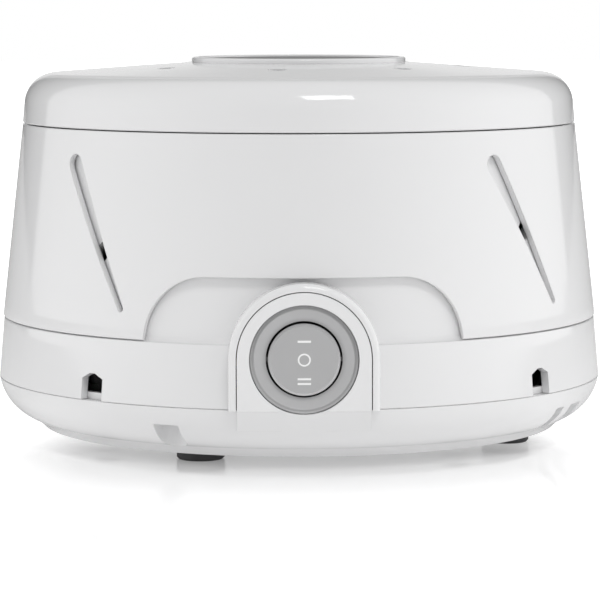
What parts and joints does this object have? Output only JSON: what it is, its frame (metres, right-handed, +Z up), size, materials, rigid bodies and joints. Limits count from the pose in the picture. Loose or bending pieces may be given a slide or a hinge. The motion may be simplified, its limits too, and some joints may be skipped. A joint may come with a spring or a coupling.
{
  "type": "white noise sound machine",
  "caption": "Round tapered fan sound machine with a turning slotted collar and cap, a front three-position rocker switch and rubber feet.",
  "frame": {"origin": "on the turning axis of collar, cap and fan, on the plane the rubber feet stand on", "axes": "+Z up along the turning axis, -Y out of the switch, +X to the right seen from the front"},
  "size_m": [0.146, 0.15, 0.0908],
  "materials": {
    "white_shell": "smooth glossy white moulded plastic",
    "white_disc": "smooth glossy white moulded plastic",
    "white_inner": "plain white moulded plastic",
    "foot_rubber": "soft black rubber",
    "switch_grey": "satin grey moulded plastic",
    "rocker_grey": "satin grey plastic with white printed marks",
    "screw_steel": "zinc plated steel",
    "plate_steel": "pressed steel",
    "core_steel": "stacked laminations, lightly oiled",
    "cast_aluminium": "cast aluminium",
    "contact_brass": "bright brass",
    "bronze_bush": "sintered bronze, oiled",
    "copper_wire": "enamelled copper",
    "coil_nylon": "natural nylon",
    "fibre_washer": "brown fibre",
    "fan_plastic": "dark grey moulded plastic",
    "lead_black": "black wire insulation",
    "lead_red": "red wire insulation",
    "lead_blue": "blue wire insulation",
    "lead_white": "white wire insulation"
  },
  "bodies": {
    "housing": {"base_pan": "white_shell", "drum_housing": "white_shell", "sound_deck": "white_inner", "cap_washer": "screw_steel", "cap_screw": "screw_steel", "rubber_feet": "foot_rubber", "housing_screws": "screw_steel", "deck_screws": "screw_steel", "switch_body": "switch_grey", "switch_terminals": "contact_brass", "terminal_sleeves": "coil_nylon", "cord_gland": "white_inner", "gland_nut": "white_inner", "motor_grommets": "foot_rubber", "motor_screws": "screw_steel", "motor_plate": "plate_steel", "lower_bushing": "bronze_bush", "upper_bushing": "bronze_bush", "upper_bracket": "plate_steel", "bracket_screws": "screw_steel", "bracket_spacers": "contact_brass", "stator_stack": "core_steel", "shading_rings": "copper_wire", "coil_bobbin": "coil_nylon", "coil_winding": "copper_wire", "thrust_washers": "fibre_washer", "lead_line": "lead_black", "lead_fast": "lead_red", "lead_slow": "lead_blue", "lead_return": "lead_white", "splice_caps": "coil_nylon"},
    "collar": {"collar": "white_shell"},
    "cap": {"top_cap": "white_shell", "cap_disc": "white_disc"},
    "rocker": {"switch_rocker": "rocker_grey", "rocker_plunger": "contact_brass"},
    "contact": {"contact_blade": "contact_brass"},
    "rotor": {"rotor_core": "core_steel", "rotor_end_rings": "cast_aluminium", "motor_shaft": "plate_steel", "fan": "fan_plastic", "fan_clip": "plate_steel"}
  },
  "joints": [
    {"name": "collar_turn", "type": "hinge", "parent": "housing", "child": "collar", "pos_m": [0, 0, 0.05], "axis": [0, 0, 1], "range_deg": [-15, 15]},
    {"name": "cap_turn", "type": "hinge", "parent": "housing", "child": "cap", "pos_m": [0, 0, 0.085], "axis": [0, 0, 1], "range_deg": [-22.5, 22.5]},
    {"name": "rocker_tilt", "type": "hinge", "parent": "housing", "child": "rocker", "pos_m": [0, -0.0722, 0.0257], "axis": [1, 0, 0], "range_deg": [-11, 11]},
    {"name": "contact_tilt", "type": "hinge", "parent": "housing", "child": "contact", "pos_m": [0, -0.0628, 0.0257], "axis": [1, 0, 0], "range_deg": [-8, 8]},
    {"name": "rotor_spin", "type": "hinge", "parent": "housing", "child": "rotor", "pos_m": [0, 0, 0.04], "axis": [0, 0, 1], "continuous": true}
  ],
  "couplings": [
    {"joint": "contact_tilt", "follows": "rocker_tilt", "ratio": -0.7}
  ]
}
